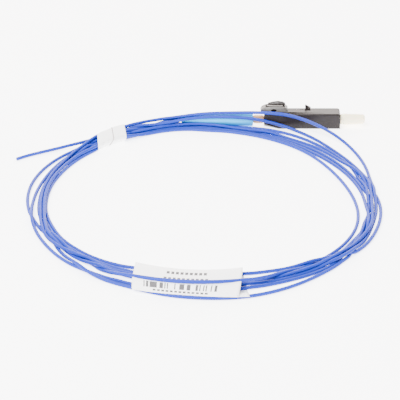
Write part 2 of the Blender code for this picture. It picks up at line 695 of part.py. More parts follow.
def main():
    clear_scene()
    parts = bpy.data.collections.new("fibre_optic_pigtail")
    cutters = bpy.data.collections.new("cutters")
    bpy.context.scene.collection.children.link(parts)
    bpy.context.scene.collection.children.link(cutters)
    black = make_material("black_plastic", (0.03, 0.028, 0.032), 0.35)
    aqua = make_material("aqua_boot", (0.2, 0.55, 0.72), 0.55)
    beige = make_material("beige_neck", (0.72, 0.56, 0.4), 0.5)
    cream = make_material("cream_cap", (0.9, 0.84, 0.74), 0.5)
    zirconia = make_material("ferrule_ceramic", (0.92, 0.91, 0.88), 0.2)
    steel = make_material("holder_metal", (0.6, 0.6, 0.6), 0.35, 1.0)
    blue = make_material("blue_buffer", (0.1, 0.25, 0.7), 0.4)
    white = make_material("tie_paper", (0.9, 0.9, 0.9), 0.7)
    paper = make_material("label_paper", (0.9, 0.9, 0.9), 0.6)
    build_housing(parts, cutters, black)
    build_latch(parts, cutters, black)
    build_hood(parts, cutters, black)
    build_tongue(parts, cutters, black)
    build_ferrule(parts, zirconia, steel)
    build_neck(parts, beige)
    build_boot(parts, aqua)
    build_cap(parts, cream)
    build_coil(parts, blue)
    build_tube("fibre_lead", LEAD_ROUTE_MM, parts, blue)
    build_tube("fibre_tail", TAIL_ROUTE_MM, parts, blue)
    build_tie(parts, white)
    build_label(parts, paper)


main()
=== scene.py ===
# %% [markdown]
# # Fibre optic pigtail
# The real thing is one long blue fibre of 0.9 mm, wound in a loose flat coil, with a small square plug on
# one end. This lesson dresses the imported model: it keeps the plug's rigid pieces where they are, and
# works out everything soft, such as the fibre, its tie and its label, as surfaces in numpy.

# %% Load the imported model
import math

import bmesh
import bpy
import numpy as np
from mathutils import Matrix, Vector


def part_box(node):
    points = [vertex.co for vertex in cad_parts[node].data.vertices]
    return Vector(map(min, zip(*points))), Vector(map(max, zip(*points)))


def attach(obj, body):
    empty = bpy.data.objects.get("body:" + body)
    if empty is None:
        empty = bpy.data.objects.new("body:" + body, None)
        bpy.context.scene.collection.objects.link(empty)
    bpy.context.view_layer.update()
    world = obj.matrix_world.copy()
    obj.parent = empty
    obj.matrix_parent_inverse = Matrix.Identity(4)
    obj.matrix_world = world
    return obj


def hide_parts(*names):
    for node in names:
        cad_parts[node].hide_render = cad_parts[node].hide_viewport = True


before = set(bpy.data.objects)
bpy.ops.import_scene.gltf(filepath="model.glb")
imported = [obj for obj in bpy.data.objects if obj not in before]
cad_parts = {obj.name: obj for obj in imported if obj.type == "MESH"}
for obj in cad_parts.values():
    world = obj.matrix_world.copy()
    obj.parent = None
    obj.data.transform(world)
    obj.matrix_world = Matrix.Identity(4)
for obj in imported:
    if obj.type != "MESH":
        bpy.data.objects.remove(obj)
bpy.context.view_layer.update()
MM = 0.001
print("nodes:", ", ".join(sorted(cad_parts)))

# %% [markdown]
# ## The camera
# A long lens, well above the table, looks along the coil's middle towards the plug. Seen like that, the
# round coil becomes a wide ellipse. The distance and the lens come from two known widths, the plug's
# 4.5 mm and the label's one inch, which have to agree in one picture.

# %% Camera
CAMERA_ELEVATION = math.radians(29.0)
CAMERA_DISTANCE = 439.0 * MM
CAMERA_TARGET = np.array([-20.45, -42.9, 0.0]) * MM
CAMERA_LENS = 153.0
CAMERA_SENSOR = 36.0
NEAREST_SEEN = 0.01

camera_data = bpy.data.cameras.new("view")
camera_data.lens = CAMERA_LENS
camera_data.sensor_width = CAMERA_SENSOR
camera_data.clip_start = NEAREST_SEEN
camera = bpy.data.objects.new("view", camera_data)
camera.location = CAMERA_TARGET + CAMERA_DISTANCE * np.array(
    [0.0, -math.cos(CAMERA_ELEVATION), math.sin(CAMERA_ELEVATION)])
camera.rotation_euler = (math.radians(90.0) - CAMERA_ELEVATION, 0.0, 0.0)
bpy.context.scene.collection.objects.link(camera)
bpy.context.scene.camera = camera
print("camera at", [round(float(v), 3) for v in camera.location])

# %% [markdown]
# ## Small helpers
# Every new piece is a grid of points: rows along the piece, columns round it. One function turns such an
# array into a mesh, and one gives a material its Principled shader, so that later cells stay short.

# %% Helpers for meshes and materials
def mesh_from_arrays(name, points, faces, smooth=True, uv=None):
    """An object whose vertices are the rows of points. uv holds one pair for each vertex."""
    mesh = bpy.data.meshes.new(name)
    mesh.from_pydata(np.asarray(points).reshape(-1, 3), [], faces)
    shape = bmesh.new()
    shape.from_mesh(mesh)
    bmesh.ops.recalc_face_normals(shape, faces=shape.faces)
    shape.to_mesh(mesh)
    shape.free()
    mesh.polygons.foreach_set("use_smooth", np.full(len(mesh.polygons), smooth))
    if uv is not None:
        corner_vertex = np.zeros(len(mesh.loops), dtype=int)
        mesh.loops.foreach_get("vertex_index", corner_vertex)
        mesh.uv_layers.new(name="UVMap").data.foreach_set("uv", np.asarray(uv)[corner_vertex].ravel())
    mesh.update()
    piece = bpy.data.objects.new(name, mesh)
    bpy.context.scene.collection.objects.link(piece)
    return piece


def grid_faces(rows, columns, wrap_rows=False):
    """Quads between neighbouring rows and columns of a grid, as index rows. Columns close to a ring."""
    i = np.arange(rows if wrap_rows else rows - 1)[:, None]
    j = np.arange(columns)[None, :]
    i2, j2 = (i + 1) % rows, (j + 1) % columns
    corners = [i * columns + j, i * columns + j2, i2 * columns + j2, i2 * columns + j]
    return np.stack(corners, axis=-1).reshape(-1, 4)


def thin_sheet(name, outer, inner, uv):
    """A sheet with real thickness from its two faces, each an array of rows, columns and xyz.

    One row of the result runs along the outer face and back along the inner one, and quads close both
    ends. The inner face gets u = -1, where no print is.
    """
    rows, columns = outer.shape[:2]
    points = np.concatenate([outer, inner[:, ::-1]], axis=1)
    side_uv = np.stack([np.full((rows, columns), -1.0), uv[:, ::-1, 1]], axis=-1)
    both_uv = np.concatenate([uv, side_uv], axis=1).reshape(-1, 2)
    k = np.arange(columns - 1)
    end = np.stack([k, k + 1, 2 * columns - 2 - k, 2 * columns - 1 - k], axis=-1)
    faces = np.concatenate([grid_faces(rows, 2 * columns), end, end + (rows - 1) * 2 * columns])
    return mesh_from_arrays(name, points, faces.tolist(), uv=both_uv)


def closed_sleeve(name, outer, inner):
    """A sleeve open at both ends: the rows run along the outside and back through the inside."""
    points = np.concatenate([outer, inner[::-1]], axis=0)
    faces = grid_faces(points.shape[0], points.shape[1], wrap_rows=True)
    return mesh_from_arrays(name, points, faces.tolist())


def finish_piece(piece, body, material):
    """Give a finished piece its material and its body."""
    piece.data.materials.clear()
    piece.data.materials.append(material)
    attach(piece, body)


def new_material(name, colour, roughness, **sockets):
    """A material with one Principled shader. Returns it with its node tree and that shader."""
    material = bpy.data.materials.new(name)
    material.use_nodes = True
    tree = material.node_tree
    shader = tree.nodes["Principled BSDF"]
    shader.inputs["Base Color"].default_value = (*colour, 1.0)
    shader.inputs["Roughness"].default_value = roughness
    for socket, value in sockets.items():
        shader.inputs[socket.replace("_", " ")].default_value = value
    return material, tree, shader


print("helpers ready")

# %% [markdown]
# ## Where each turn of the fibre lies
# The fibre leaves the boot, goes seven times round and a little further, and ends beyond the tie. Each
# row below is one turn, as a few listed places: degrees round the coil, and the
# radius in millimetres. Such a place is where the camera meets the fibre at a height of 1.2 mm. A place
# with a third number is held there by something, at that height, and its radius is the true one.

# %% The fibre's route
COIL_CENTRE = np.array([-19.45, -43.4])
FIBRE_DIAMETER = 0.9
ROUTE = (
    ((102, 43.63, 2.05), (105, 43.45, 1.9), (108, 43.15, 1.6), (111, 42.75, 1.4), (150, 44.6), (167, 45.9),
     (180, 45.5), (190, 44.9), (200, 44.0), (210, 43.1), (222, 42.2), (240, 41.5), (266, 42.0), (290, 43.5),
     (315, 44.5), (345, 44.0), (375, 41.0), (405, 39.5), (435, 39.7), (455, 41.4), (464, 41.3)),
    ((150, 41.4), (160, 42.4), (168, 43.2), (180, 43.9), (195, 44.8), (204, 45.5), (214, 46.0), (226, 46.7),
     (240, 46.1), (266, 45.8), (290, 45.2), (315, 46.0), (345, 43.0), (375, 42.5), (405, 42.4), (412, 43.3),
     (423, 43.2), (435, 41.2), (455, 43.2), (464, 42.8)),
    ((150, 41.2), (168, 41.4, 0.46), (180, 41.4, 0.46), (190, 41.6, 0.46), (210, 43.0), (232, 46.2),
     (240, 46.9), (248, 46.0, 0.45), (252, 46.4, 0.45), (257, 46.9, 0.45), (264, 47.3, 0.45),
     (272, 47.6, 0.45), (280, 48.0, 0.45), (287, 49.0), (294, 48.75), (304, 47.4), (311, 46.2), (330, 44.5),
     (345, 43.5), (360, 42.0), (375, 40.0), (405, 38.0), (435, 38.6), (455, 40.2), (464, 40.3)),
    ((150, 40.4), (168, 40.5, 0.46), (180, 40.5, 0.46), (190, 40.7, 0.46), (210, 41.6), (232, 40.6),
     (244, 37.9, 0.45), (252, 37.7, 0.45), (264, 37.7, 0.45), (276, 37.7, 0.45), (284, 38.0, 0.45),
     (296, 39.6), (308, 41.7), (320, 44.5), (333, 46.5), (342, 46.3), (349, 46.0), (356, 45.5), (363, 44.4),
     (375, 43.0), (405, 41.0), (435, 40.3), (455, 43.2), (464, 43.2)),
    ((150, 42.4), (168, 42.3, 0.46), (180, 42.3, 0.46), (190, 42.5, 0.46), (210, 42.6), (232, 42.4),
     (241, 44.4, 2.2), (247, 45.0, 3.0), (256, 45.2, 3.35), (264, 45.2, 3.4), (273, 45.1, 3.4),
     (282, 44.6, 3.0), (289, 43.5, 2.1), (300, 42.0), (315, 42.6), (343, 41.2), (353, 39.6), (363, 38.05),
     (376, 37.1), (385, 36.4), (405, 37.4), (412, 37.6), (435, 37.7), (455, 39.6), (464, 39.8)),
    ((150, 40.8), (168, 40.95, 1.28), (180, 40.95, 1.28), (190, 41.15, 1.25), (210, 42.8), (240, 42.5),
     (266, 43.5), (290, 42.5), (315, 45.3), (345, 44.1), (365, 43.7), (372, 44.7, 0.45), (380.5, 46.3, 0.45),
     (389, 48.0, 0.5), (397.4, 49.15, 1.2), (404, 49.5, 2.0), (408, 49.4, 2.6), (413, 48.75, 3.4),
     (416.3, 48.15, 4.0), (419, 47.4, 4.5), (421.6, 46.3, 4.95), (424.4, 45.3, 5.1), (429.3, 44.2, 5.1),
     (436.5, 43.2, 4.75), (444, 42.5, 4.5), (451.3, 42.3, 4.3), (458, 42.9, 3.4), (464.4, 43.7, 2.6),
     (469.8, 44.3, 2.5), (476, 43.9, 2.5)),
    ((141, 42.9), (150, 42.0), (168, 41.85, 1.28), (180, 41.85, 1.28), (190, 42.05, 1.25), (210, 43.3),
     (240, 41.0), (266, 41.0), (290, 41.5), (315, 43.8), (345, 42.5), (375, 43.4), (390, 43.6),
     (398, 44.6, 0.45), (405.5, 45.6, 0.45), (414.4, 46.5, 0.6), (424.2, 45.4, 2.05), (432, 43.5, 3.25),
     (441.5, 42.2, 3.5), (451.3, 41.8, 3.5), (458, 42.0, 2.8), (464.5, 42.4, 1.95), (470.5, 42.5, 1.6),
     (474.2, 42.75, 1.6), (478, 43.05, 1.8)),
    ((137.7, 45.0, 1.65), (141.4, 46.65, 1.15), (144.2, 48.15, 0.85), (146.8, 49.65, 0.62),
     (151.2, 52.45, 0.48), (155.6, 55.15, 0.46)),
)
TIE_FROM, TIE_TO = 121.0, 134.1
TIE_PLACES = ((42.1, 1.75), (41.15, 1.75), (41.6, 0.95), (40.65, 0.95), (42.55, 0.95), (40.2, 1.75),
              (43.45, 2.55), (43.05, 1.75))
SIGHT_HEIGHT = 1.2
print("turns:", len(ROUTE) - 1, "places chosen by hand:", sum(len(row) for row in ROUTE))

# %% [markdown]
# ## Let the turns settle
# A route given place by place never keeps exactly one diameter between its turns. So the fibre is laid like
# a real
# one: it is pulled softly towards its route and down to the table, bent as little as possible, and
# pushed apart wherever two turns would share room. All turns are cut at the same 120 angles, which makes
# the distances between them one array, and a few hundred rounds take about a second.

# %% What the fibre has to keep clear of
STATIONS = 120
STEP_DEGREES = 360 // STATIONS
STRAND_GAP = 0.02
STRAND_ROOM = FIBRE_DIAMETER / 2 + STRAND_GAP
MOST_PUSH = 0.6
END_MARGIN = 0.3
TINY = 1e-9
BODY_NARROWING, REAR_TAPER = 0.45, 4.2
BOOT_TAIL_RADIUS, BOOT_SHOULDER, NECK_RADIUS = 1.05, 5.0, 1.2


def node_box(name):
    """A node's lowest and highest corners, in millimetres."""
    low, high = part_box(name)
    return np.array(low) / MM, np.array(high) / MM


body_low, body_high = node_box("connector_housing")
hood_low, hood_high = node_box("trigger_hood")
boot_low, boot_high = node_box("boot")
_, cap_high = node_box("dust_cap")
axis_height = (boot_low[2] + boot_high[2]) / 2
boot_radius, cap_radius = boot_high[2] - axis_height, cap_high[2] - axis_height
round_profile = np.array([(boot_low[0], BOOT_TAIL_RADIUS), (boot_high[0] - BOOT_SHOULDER, boot_radius),
                          (boot_high[0], boot_radius), (boot_high[0], NECK_RADIUS),
                          (body_low[0], NECK_RADIUS), (body_low[0], 0.0), (body_high[0], 0.0),
                          (body_high[0], cap_radius), (cap_high[0], cap_radius)])
# np.interp needs every place along the profile to lie a little past the one before.
PROFILE_STEP = 0.001
round_profile[:, 0] += PROFILE_STEP * np.arange(len(round_profile))


def push_from_block(x, y, z, low, high):
    """Shift, across the plug, that takes a strand's middle out of a block grown by the strand's radius."""
    half = high[1] - BODY_NARROWING * np.clip((low[0] + REAR_TAPER - x) / REAR_TAPER, 0.0, 1.0)
    middle, rise = (low[2] + high[2]) / 2, (high[2] - low[2]) / 2
    past_y, past_z = np.abs(y) - half, np.abs(z - middle) - rise
    out_y, out_z = np.maximum(past_y, 0.0), np.maximum(past_z, 0.0)
    corner = np.hypot(out_y, out_z) + TINY
    inside = (past_y <= 0) & (past_z <= 0)
    distance = np.where(inside, np.maximum(past_y, past_z), corner)
    beside = (x > low[0] - END_MARGIN) & (x < high[0] + END_MARGIN)
    deep = beside * np.clip(STRAND_ROOM - distance, 0.0, MOST_PUSH)
    share_y = np.where(inside, past_y > past_z, out_y / corner) * np.sign(y)
    share_z = np.where(inside, past_y <= past_z, out_z / corner) * np.sign(z - middle)
    return deep * share_y, deep * share_z


def push_from_plug(x, y, z):
    """Shift that takes strands out of the plug's body, its hood, its neck, its boot and its cap."""
    body_y, body_z = push_from_block(x, y, z, body_low, body_high)
    hood_y, hood_z = push_from_block(x, y, z, hood_low, hood_high)
    radius = np.interp(x, *round_profile.T, left=0.0, right=0.0)
    distance = np.hypot(y, z - axis_height) + TINY
    deep = np.clip(radius + STRAND_ROOM - distance, 0.0, MOST_PUSH) * (radius > 0) / distance
    return body_y + hood_y + deep * y, body_z + hood_z + deep * (z - axis_height)


print("plug from", round(float(boot_low[0]), 2), "to", round(float(cap_high[0]), 2), "mm")

# %% [markdown]
# The rows become one long list of stations, three degrees apart. What the camera sees at a given spot
# depends on the height, so a place's radius is moved along the line of sight as the fibre settles.

# %% The route as stations
LABEL_FROM, LABEL_TO = 245.5, 283.5
OVER_LABEL_TURN, UNDER_FLAP_TURN = 4, 2
LABEL_MARGIN = 4
CLOSEST = FIBRE_DIAMETER + STRAND_GAP
PAPER_ROOM = 0.25
TABLE_GAP = 0.01
SIGHT_SLOPE, SIGHT_SLOPE_GAIN = 1.8, 0.225
ROUTE_SMOOTHING = 12
HELD_REACH, DEGREES_SLACK = 13.0, 0.1


def line_of_sight(angle, height):
    """How much further out than its route a strand at this height lies, for the camera to see it there.

    The camera's rays fall at 26 degrees by the plug and 32 by the label, so one millimetre of height is
    worth 1.8 millimetres along the table, more on the far side and less on the near side.
    """
    across = np.sin(angle)
    return (SIGHT_HEIGHT - height) * (SIGHT_SLOPE + SIGHT_SLOPE_GAIN * across) * across


def smoothed(values, rounds):
    """Each value moves half way to the mean of its two neighbours, once a round."""
    for _ in range(rounds):
        inner = 0.25 * values[:-2] + 0.5 * values[1:-1] + 0.25 * values[2:]
        values = np.concatenate([values[:1], inner, values[-1:]])
    return values


def read_route():
    """The rows as arrays: degrees and radius at sight height; degrees, true radius and height where held."""
    places, held = [], []
    for turn, row in enumerate(ROUTE):
        for degrees, radius, *height in row:
            if height:
                held.append((degrees + 360 * turn, radius, height[0]))
                radius -= float(line_of_sight(math.radians(degrees), height[0]))
            places.append((degrees + 360 * turn, radius))
    for turn, (radius, height) in enumerate(TIE_PLACES):
        for degrees in (TIE_FROM + 1, (TIE_FROM + TIE_TO) / 2, TIE_TO - 1):
            held.append((degrees + 360 * turn, radius, height))
            places.append((degrees + 360 * turn,
                           radius - float(line_of_sight(math.radians(degrees), height))))
    return np.array(sorted(places)), np.array(sorted(held))


places, held = read_route()
degrees = np.arange(places[0, 0], places[-1, 0] + 0.5, STEP_DEGREES)
angle = np.radians(degrees)
route_radius = smoothed(np.interp(degrees, *places.T), ROUTE_SMOOTHING)
held_radius = np.interp(degrees, held[:, 0], held[:, 1])
held_height = np.interp(degrees, held[:, 0], held[:, 2])
# The fibre is held between two held places that lie less than 13 degrees apart.
before = np.clip(np.searchsorted(held[:, 0], degrees + DEGREES_SLACK) - 1, 0, len(held) - 2)
is_held = held[before + 1, 0] - held[before, 0] < HELD_REACH
is_held &= degrees < held[-1, 0] + DEGREES_SLACK
index = np.rint(degrees / STEP_DEGREES).astype(int)
turn, station = index // STATIONS, index % STATIONS

in_label = (degrees % 360 > LABEL_FROM - LABEL_MARGIN) & (degrees % 360 < LABEL_TO + LABEL_MARGIN)
floor_height = np.full(len(degrees), FIBRE_DIAMETER / 2 + TABLE_GAP)
floor_height[in_label & (turn != UNDER_FLAP_TURN)] += PAPER_ROOM / 2
least_distance = np.full((STATIONS, len(ROUTE), len(ROUTE)), CLOSEST)
label_stations = np.unique(station[in_label])
for apart_turn in (OVER_LABEL_TURN, UNDER_FLAP_TURN):
    least_distance[label_stations, apart_turn, :] = FIBRE_DIAMETER + PAPER_ROOM
    least_distance[label_stations, :, apart_turn] = FIBRE_DIAMETER + PAPER_ROOM
print("stations along the fibre:", len(degrees), "held:", int(is_held.sum()))

# %% [markdown]
# Each round pulls, bends and pushes a little. The pull fades, so that the last rounds only keep the turns
# apart and smooth.

# %% Settle the fibre
ROUNDS, LAST_ROUNDS = 600, 40
BEND_ROUNDS, STIFFNESS = 5, 0.06
PUSH_ROUNDS, PUSH_SHARE, MOST_SHIFT = 3, 0.42, 0.3
LAST_PULL, FADING_PULL = 0.015, 0.1
HOLD, SINKING = 0.3, 0.03
START_RISE, START_SMOOTHING = 0.33, 3
EMPTY_PLACE, EMPTY_STEP = 1e3, 50.0


def push_apart(radius, height):
    """Shift that keeps every two turns at one angle a diameter apart, and more where paper lies between.

    Turns are columns and angles are rows of one table, so all distances are one array. A place in the
    table that no strand fills lies far away from all others.
    """
    table_r = np.full((STATIONS, len(ROUTE)), EMPTY_PLACE) + EMPTY_STEP * np.arange(len(ROUTE))
    table_z = np.zeros_like(table_r)
    table_r[station, turn] = radius
    table_z[station, turn] = height
    apart_r = table_r[:, :, None] - table_r[:, None, :]
    apart_z = table_z[:, :, None] - table_z[:, None, :]
    distance = np.hypot(apart_r, apart_z) + TINY
    push = np.clip(least_distance - distance, 0.0, None) / distance * PUSH_SHARE
    push_r = np.clip((push * apart_r).sum(axis=2), -MOST_SHIFT, MOST_SHIFT)
    push_z = np.clip((push * apart_z).sum(axis=2), -MOST_SHIFT, MOST_SHIFT)
    return push_r[station, turn], push_z[station, turn]


def relaxed(values):
    """Bending stiffness: each value gives way to its neighbours by the fourth difference."""
    for _ in range(BEND_ROUNDS):
        bend = values[:-4] - 4 * values[1:-3] + 6 * values[2:-2] - 4 * values[3:-1] + values[4:]
        values = np.concatenate([values[:2], values[2:-2] - STIFFNESS * bend, values[-2:]])
    return values


def kept_apart(radius, height):
    """One round of pushing the turns off each other, off the table and off the plug."""
    push_r, push_z = push_apart(radius, height)
    radius, height = radius + push_r, height + push_z
    x = COIL_CENTRE[0] + radius * np.cos(angle)
    y = COIL_CENTRE[1] + radius * np.sin(angle)
    push_y, push_z = push_from_plug(x, y, height)
    return radius + push_y * np.sin(angle), np.maximum(height + push_z, floor_height)


radius = np.where(is_held, held_radius, route_radius)
start_height = FIBRE_DIAMETER / 2 + START_RISE * turn
height = smoothed(np.where(is_held, held_height, start_height), START_SMOOTHING)
for settling in range(ROUNDS):
    fade = 1 - settling / ROUNDS
    target = route_radius + line_of_sight(angle, height)
    radius = radius + (target - radius) * np.where(is_held, 0.0, LAST_PULL + FADING_PULL * fade)
    height = height - SINKING * ~is_held
    radius = relaxed(radius + HOLD * (held_radius - radius) * is_held)
    height = relaxed(height + HOLD * (held_height - height) * is_held)
    for _ in range(PUSH_ROUNDS):
        radius, height = kept_apart(radius, height)
    radius[0], height[0] = ROUTE[0][0][1:]
for _ in range(LAST_ROUNDS):
    radius, height = kept_apart(radius, height)
radius[0], height[0] = ROUTE[0][0][1:]

settled_x = COIL_CENTRE[0] + radius * np.cos(angle)
settled_y = COIL_CENTRE[1] + radius * np.sin(angle)
settled = np.stack([settled_x, settled_y, height], axis=1)
DEPTHS_IN_BOOT = np.array([3.0, 1.5, 0.0])
inside_boot = np.stack([boot_low[0] + DEPTHS_IN_BOOT, np.zeros(3), np.full(3, axis_height)], axis=1)
fibre_points = np.concatenate([inside_boot, settled])
print("length through the settled points, mm:",
      round(float(np.linalg.norm(np.diff(fibre_points, axis=0), axis=1).sum()), 1))

# %% [markdown]
# ## The fibre itself
# The settled points are joined by a Catmull-Rom curve, read off every 1.1 mm, and a ring of twelve points is
# set square to the curve at each of them. Each ring takes its directions from the vertical and from the
# curve's own tangent, and on a coil that lies flat that keeps the rings from twisting.

# %% Fibre tube
FIBRE_SPACING = 1.1
FIBRE_SIDES = 12


def along_curve(points, spacing, fine=12):
    """Points at even steps on the Catmull-Rom curve through the given ones, all as arrays.

    Between p1 and p2:
    p = 0.5 (2 p1 + (p2 - p0) t + (2 p0 - 5 p1 + 4 p2 - p3) t^2 + (3 p1 - p0 - 3 p2 + p3) t^3).
    """
    padded = np.concatenate([2 * points[:1] - points[1:2], points, 2 * points[-1:] - points[-2:-1]])
    p0, p1, p2, p3 = padded[:-3, None], padded[1:-2, None], padded[2:-1, None], padded[3:, None]
    t = np.linspace(0.0, 1.0, fine, endpoint=False)[None, :, None]
    curve = 0.5 * (2 * p1 + (p2 - p0) * t + (2 * p0 - 5 * p1 + 4 * p2 - p3) * t ** 2
                   + (3 * p1 - p0 - 3 * p2 + p3) * t ** 3)
    curve = np.concatenate([curve.reshape(-1, points.shape[1]), points[-1:]])
    lengths = np.concatenate([[0.0], np.cumsum(np.linalg.norm(np.diff(curve, axis=0), axis=1))])
    steps = np.linspace(0.0, lengths[-1], max(2, int(round(lengths[-1] / spacing)) + 1))
    stepped = [np.interp(steps, lengths, curve[:, k]) for k in range(points.shape[1])]
    return np.stack(stepped, axis=1), lengths[-1]


def tube(name, path, diameter, sides):
    """A round tube about a path, with UV running round (u) and along in millimetres (v).

    Ring = path + r (cos a * side + sin a * up), where side is square to the tangent and level. u falls
    from one to nought over half the ring and rises again over the other half, so it has no seam.
    """
    tangent = np.gradient(path, axis=0)
    tangent /= np.linalg.norm(tangent, axis=1, keepdims=True)
    side = np.cross(tangent, [0.0, 0.0, 1.0])
    side /= np.linalg.norm(side, axis=1, keepdims=True)
    up = np.cross(side, tangent)
    turn_angle = 2 * np.pi * np.arange(sides) / sides
    cosine, sine = np.cos(turn_angle)[None, :, None], np.sin(turn_angle)[None, :, None]
    ring = cosine * side[:, None] + sine * up[:, None]
    points = path[:, None] + diameter / 2 * ring
    faces = grid_faces(len(path), sides)
    first, last = list(range(sides)), list(range((len(path) - 1) * sides, len(path) * sides))
    run = np.concatenate([[0.0], np.cumsum(np.linalg.norm(np.diff(path, axis=0), axis=1))])
    round_share = np.abs(2 * np.arange(sides) / sides - 1)
    uv = np.stack(np.broadcast_arrays(round_share[None], run[:, None]), axis=-1).reshape(-1, 2)
    return mesh_from_arrays(name, points * MM, faces.tolist() + [first, last[::-1]], uv=uv)


fibre_path, fibre_length = along_curve(fibre_points, FIBRE_SPACING)
fibre = tube("fibre", fibre_path, FIBRE_DIAMETER, FIBRE_SIDES)
print("fibre:", len(fibre_path), "rings, length", round(float(fibre_length), 1), "mm")

# %% [markdown]
# ## Blue buffer
# The fibre's buffer is extruded plastic: even in colour, with a soft broad sheen. Very long, faint streaks
# run along it, which a noise stretched along the tube gives.

# %% Blue buffer material
BUFFER_BLUE = np.array([0.009, 0.028, 0.30])
BUFFER_ROUGHNESS = 0.5
STREAK_SHARE, STREAK_LENGTH = 0.3, 60.0
STREAK_TONE, STREAK_GLOSS = 0.12, 0.06
blue_buffer, buffer_tree, buffer_shader = new_material("blue_buffer_finish", BUFFER_BLUE,
                                                       BUFFER_ROUGHNESS, Specular_IOR_Level=0.18)
buffer_uv = buffer_tree.nodes.new("ShaderNodeUVMap")
buffer_uv.uv_map = "UVMap"
stretch = buffer_tree.nodes.new("ShaderNodeMapping")
stretch.inputs["Scale"].default_value = (1 / STREAK_SHARE, 1 / STREAK_LENGTH, 1.0)
buffer_tree.links.new(buffer_uv.outputs["UV"], stretch.inputs["Vector"])
streaks = buffer_tree.nodes.new("ShaderNodeTexNoise")
streaks.inputs["Scale"].default_value = 1.0
buffer_tree.links.new(stretch.outputs["Vector"], streaks.inputs["Vector"])
streak_mix = buffer_tree.nodes.new("ShaderNodeMix")
streak_mix.data_type = "RGBA"
streak_mix.inputs["A"].default_value = (*(BUFFER_BLUE * (1 - STREAK_TONE)), 1.0)
streak_mix.inputs["B"].default_value = (*(BUFFER_BLUE * (1 + STREAK_TONE)), 1.0)
buffer_tree.links.new(streaks.outputs["Fac"], streak_mix.inputs["Factor"])
buffer_tree.links.new(streak_mix.outputs["Result"], buffer_shader.inputs["Base Color"])
streak_gloss = buffer_tree.nodes.new("ShaderNodeMapRange")
streak_gloss.inputs["To Min"].default_value = BUFFER_ROUGHNESS - STREAK_GLOSS
streak_gloss.inputs["To Max"].default_value = BUFFER_ROUGHNESS + STREAK_GLOSS
buffer_tree.links.new(streaks.outputs["Fac"], streak_gloss.inputs["Value"])
buffer_tree.links.new(streak_gloss.outputs["Result"], buffer_shader.inputs["Roughness"])
finish_piece(fibre, "pigtail", blue_buffer)
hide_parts("fibre_coil", "fibre_lead", "fibre_tail")

# %% [markdown]
# ## The tie
# The tie is a soft white strip, wound tightly round all strands. Its outline at any angle is the shortest
# loop round them: in each direction, the strand that reaches furthest carries the tie. The strip's outer
# end lies over the first layer. Its cut edge and a thin strip of its outer face are coloured dark, as
# painted shade along that step, so the edge shows as one fine curved line.

# %% Tie
TIE_WALL = 0.2
TIE_LAYER = 0.14
TIE_GAP, LAYER_GAP, TIE_TABLE_GAP = 0.03, 0.01, 0.02
LEAN_RADIUS, LEAN_HEIGHT = 41.6, 1.7
LAST_BUT_ONE = 0.97
TIE_ROWS = 16
TIE_COLUMNS = 64


def strands_at(degrees_round):
    """Radius and height of every strand that passes an angle, as rows."""
    spots = []
    for number in range(len(ROUTE)):
        here = degrees_round + 360 * number
        if degrees[0] <= here <= degrees[-1]:
            spots.append((np.interp(here, degrees, radius), np.interp(here, degrees, height)))
    return np.array(spots)


def loop_round(spots, reach, columns):
    """Outline of a tight loop: for direction d it passes through the furthest spot, moved out along d.

    point(d) = spot + reach d, for the spot with the largest dot product with d.
    """
    turn_angle = 2 * np.pi * np.arange(columns) / columns
    direction = np.stack([np.cos(turn_angle), np.sin(turn_angle)], axis=-1)
    furthest = np.argmax(direction @ spots.T, axis=1)
    return spots[furthest] + reach * direction


def on_coil(degrees_round, section):
    """Places a section of (radius, height) rows at an angle, or at one angle for each row."""
    turned = np.radians(degrees_round)
    return np.stack([COIL_CENTRE[0] + section[..., 0] * np.cos(turned),
                     COIL_CENTRE[1] + section[..., 0] * np.sin(turned), section[..., 1]], axis=-1)


def tie_surface(ends, reach, shares):
    """Rows of a tight loop between two ends, each (degrees, lean with radius, lean with height).

    An end's angle at a point is degrees + lean_r (r - 41.6) + lean_z (z - 1.7), so it need not be square.
    """
    rows = []
    for share in shares:
        middle = ends[0][0] + (ends[1][0] - ends[0][0]) * share
        section = loop_round(strands_at(middle), reach, TIE_COLUMNS)
        lowest = TIE_TABLE_GAP + 0.5 * (reach - FIBRE_DIAMETER / 2 - TIE_GAP)
        section[:, 1] = np.maximum(section[:, 1], lowest)
        past_radius, past_height = section[:, 0] - LEAN_RADIUS, section[:, 1] - LEAN_HEIGHT
        lean = [end[1] * past_radius + end[2] * past_height for end in ends]
        rows.append(on_coil(middle + lean[0] * (1 - share) + lean[1] * share, section))
    return np.array(rows)


RIGHT_END, LEFT_END = (121.6, -0.42, -0.3), (134.1, -1.08, 0.0)
SEAM = (128.0, -0.5, -0.9)
snug = FIBRE_DIAMETER / 2 + TIE_GAP
even = np.linspace(0.0, 1.0, TIE_ROWS)
tie = closed_sleeve("tie", tie_surface((RIGHT_END, LEFT_END), snug + TIE_WALL, even) * MM,
                    tie_surface((RIGHT_END, LEFT_END), snug, even) * MM)
to_seam = np.concatenate([np.linspace(0.0, LAST_BUT_ONE, TIE_ROWS), [1.0]])
tie_end = closed_sleeve("tie_end",
                        tie_surface((RIGHT_END, SEAM), snug + TIE_WALL + TIE_LAYER, to_seam) * MM,
                        tie_surface((RIGHT_END, SEAM), snug + TIE_WALL + LAYER_GAP, to_seam) * MM)
tie_white, _, _ = new_material("tie_white", (0.97, 0.97, 0.97), 0.6)
# Dark brown-grey for the outer layer's cut edge and the thin strip beside it: painted shade along the step.
painted_step_shade, _, _ = new_material("tie_painted_step_shade", (0.2, 0.14, 0.14), 0.8)
finish_piece(tie, "pigtail", tie_white)
finish_piece(tie_end, "pigtail", tie_white)
tie_end.data.materials.append(painted_step_shade)
# The last thin strip of the outer face and the cut edge take the painted shade.
painted_shade_faces = np.zeros(len(tie_end.data.polygons), dtype=int)
painted_shade_faces[(TIE_ROWS - 1) * TIE_COLUMNS:(TIE_ROWS + 1) * TIE_COLUMNS] = 1
tie_end.data.polygons.foreach_set("material_index", painted_shade_faces)
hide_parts("tie_wrap")
print("tie:", len(tie.data.polygons) + len(tie_end.data.polygons), "faces")
